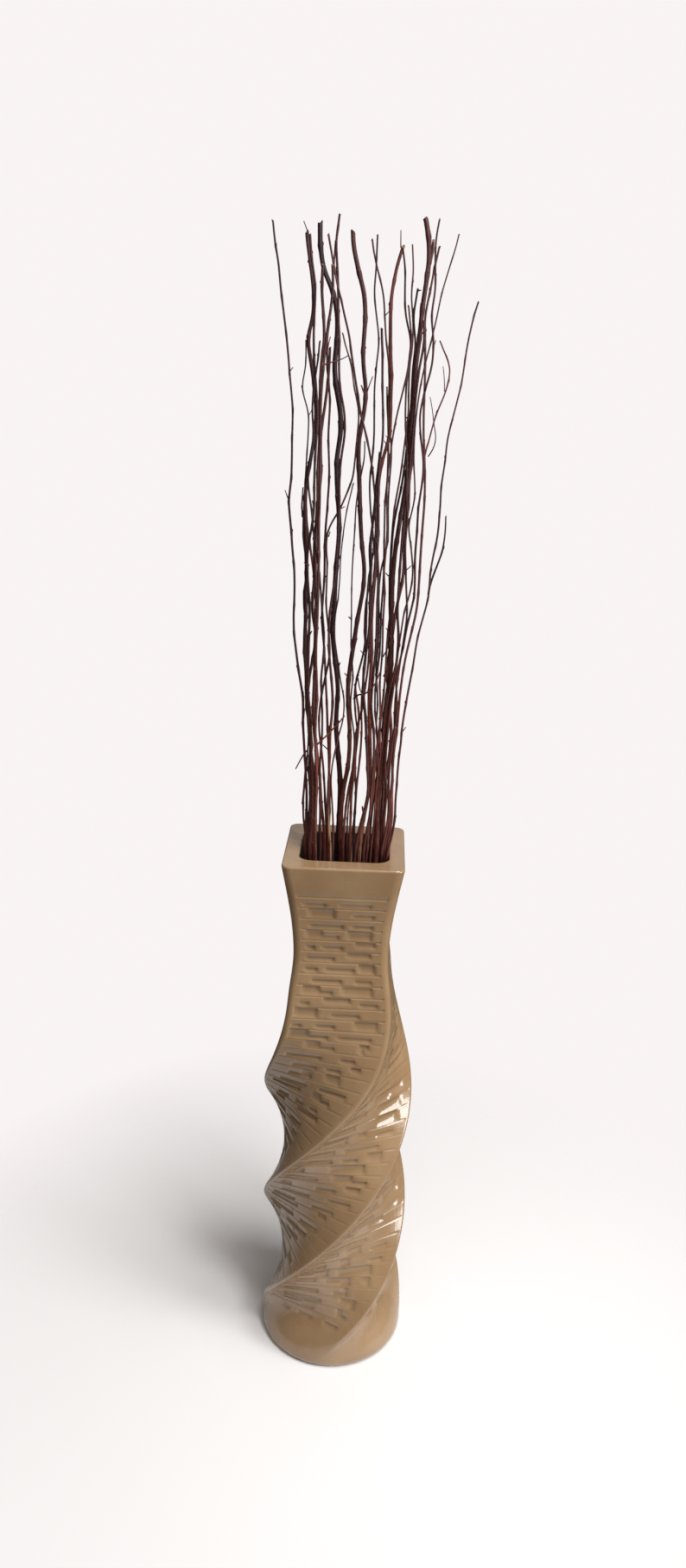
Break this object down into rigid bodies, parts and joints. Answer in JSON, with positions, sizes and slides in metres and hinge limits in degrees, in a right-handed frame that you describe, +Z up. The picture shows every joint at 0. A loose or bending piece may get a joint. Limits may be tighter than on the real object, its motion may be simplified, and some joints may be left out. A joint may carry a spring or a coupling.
{
  "type": "willow stems in a vase",
  "caption": "Tall dry willow stems standing in a square-mouthed ceramic floor vase whose four faces twist down to a round foot.",
  "frame": {"origin": "middle of the vase's flat underside, on the surface it stands on", "axes": "+Z up along the vase and the stems; -Y is the front, +X is to the right seen from the front"},
  "size_m": [0.1801, 0.1614, 1.1804],
  "materials": {
    "glaze": "soft gloss",
    "bark_dark": "dry bark",
    "bark_red": "dry bark"
  },
  "bodies": {
    "root": {"vase": "glaze", "willow_stem_01": "bark_dark", "willow_stem_02": "bark_dark", "willow_stem_03": "bark_dark", "willow_stem_04": "bark_dark", "willow_stem_05": "bark_dark", "willow_stem_06": "bark_dark", "willow_stem_07": "bark_red", "willow_stem_08": "bark_dark", "willow_stem_09": "bark_red", "willow_stem_10": "bark_red", "willow_stem_11": "bark_dark", "willow_stem_12": "bark_dark", "willow_stem_13": "bark_red", "willow_stem_14": "bark_dark", "willow_stem_15": "bark_dark", "willow_stem_16": "bark_red", "willow_stem_17": "bark_dark", "willow_stem_18": "bark_dark", "willow_stem_19": "bark_dark", "willow_stem_20": "bark_dark", "willow_stem_21": "bark_red", "willow_stem_22": "bark_dark", "willow_stem_23": "bark_red", "willow_stem_24": "bark_red", "willow_stem_25": "bark_dark", "willow_stem_26": "bark_red", "willow_stem_27": "bark_dark", "willow_stem_28": "bark_dark", "willow_stem_29": "bark_dark", "willow_stem_30": "bark_dark", "willow_stem_31": "bark_dark", "willow_stem_32": "bark_dark", "willow_stem_33": "bark_dark", "willow_stem_34": "bark_red", "willow_stem_35": "bark_dark", "willow_stem_36": "bark_dark"}
  },
  "joints": []
}
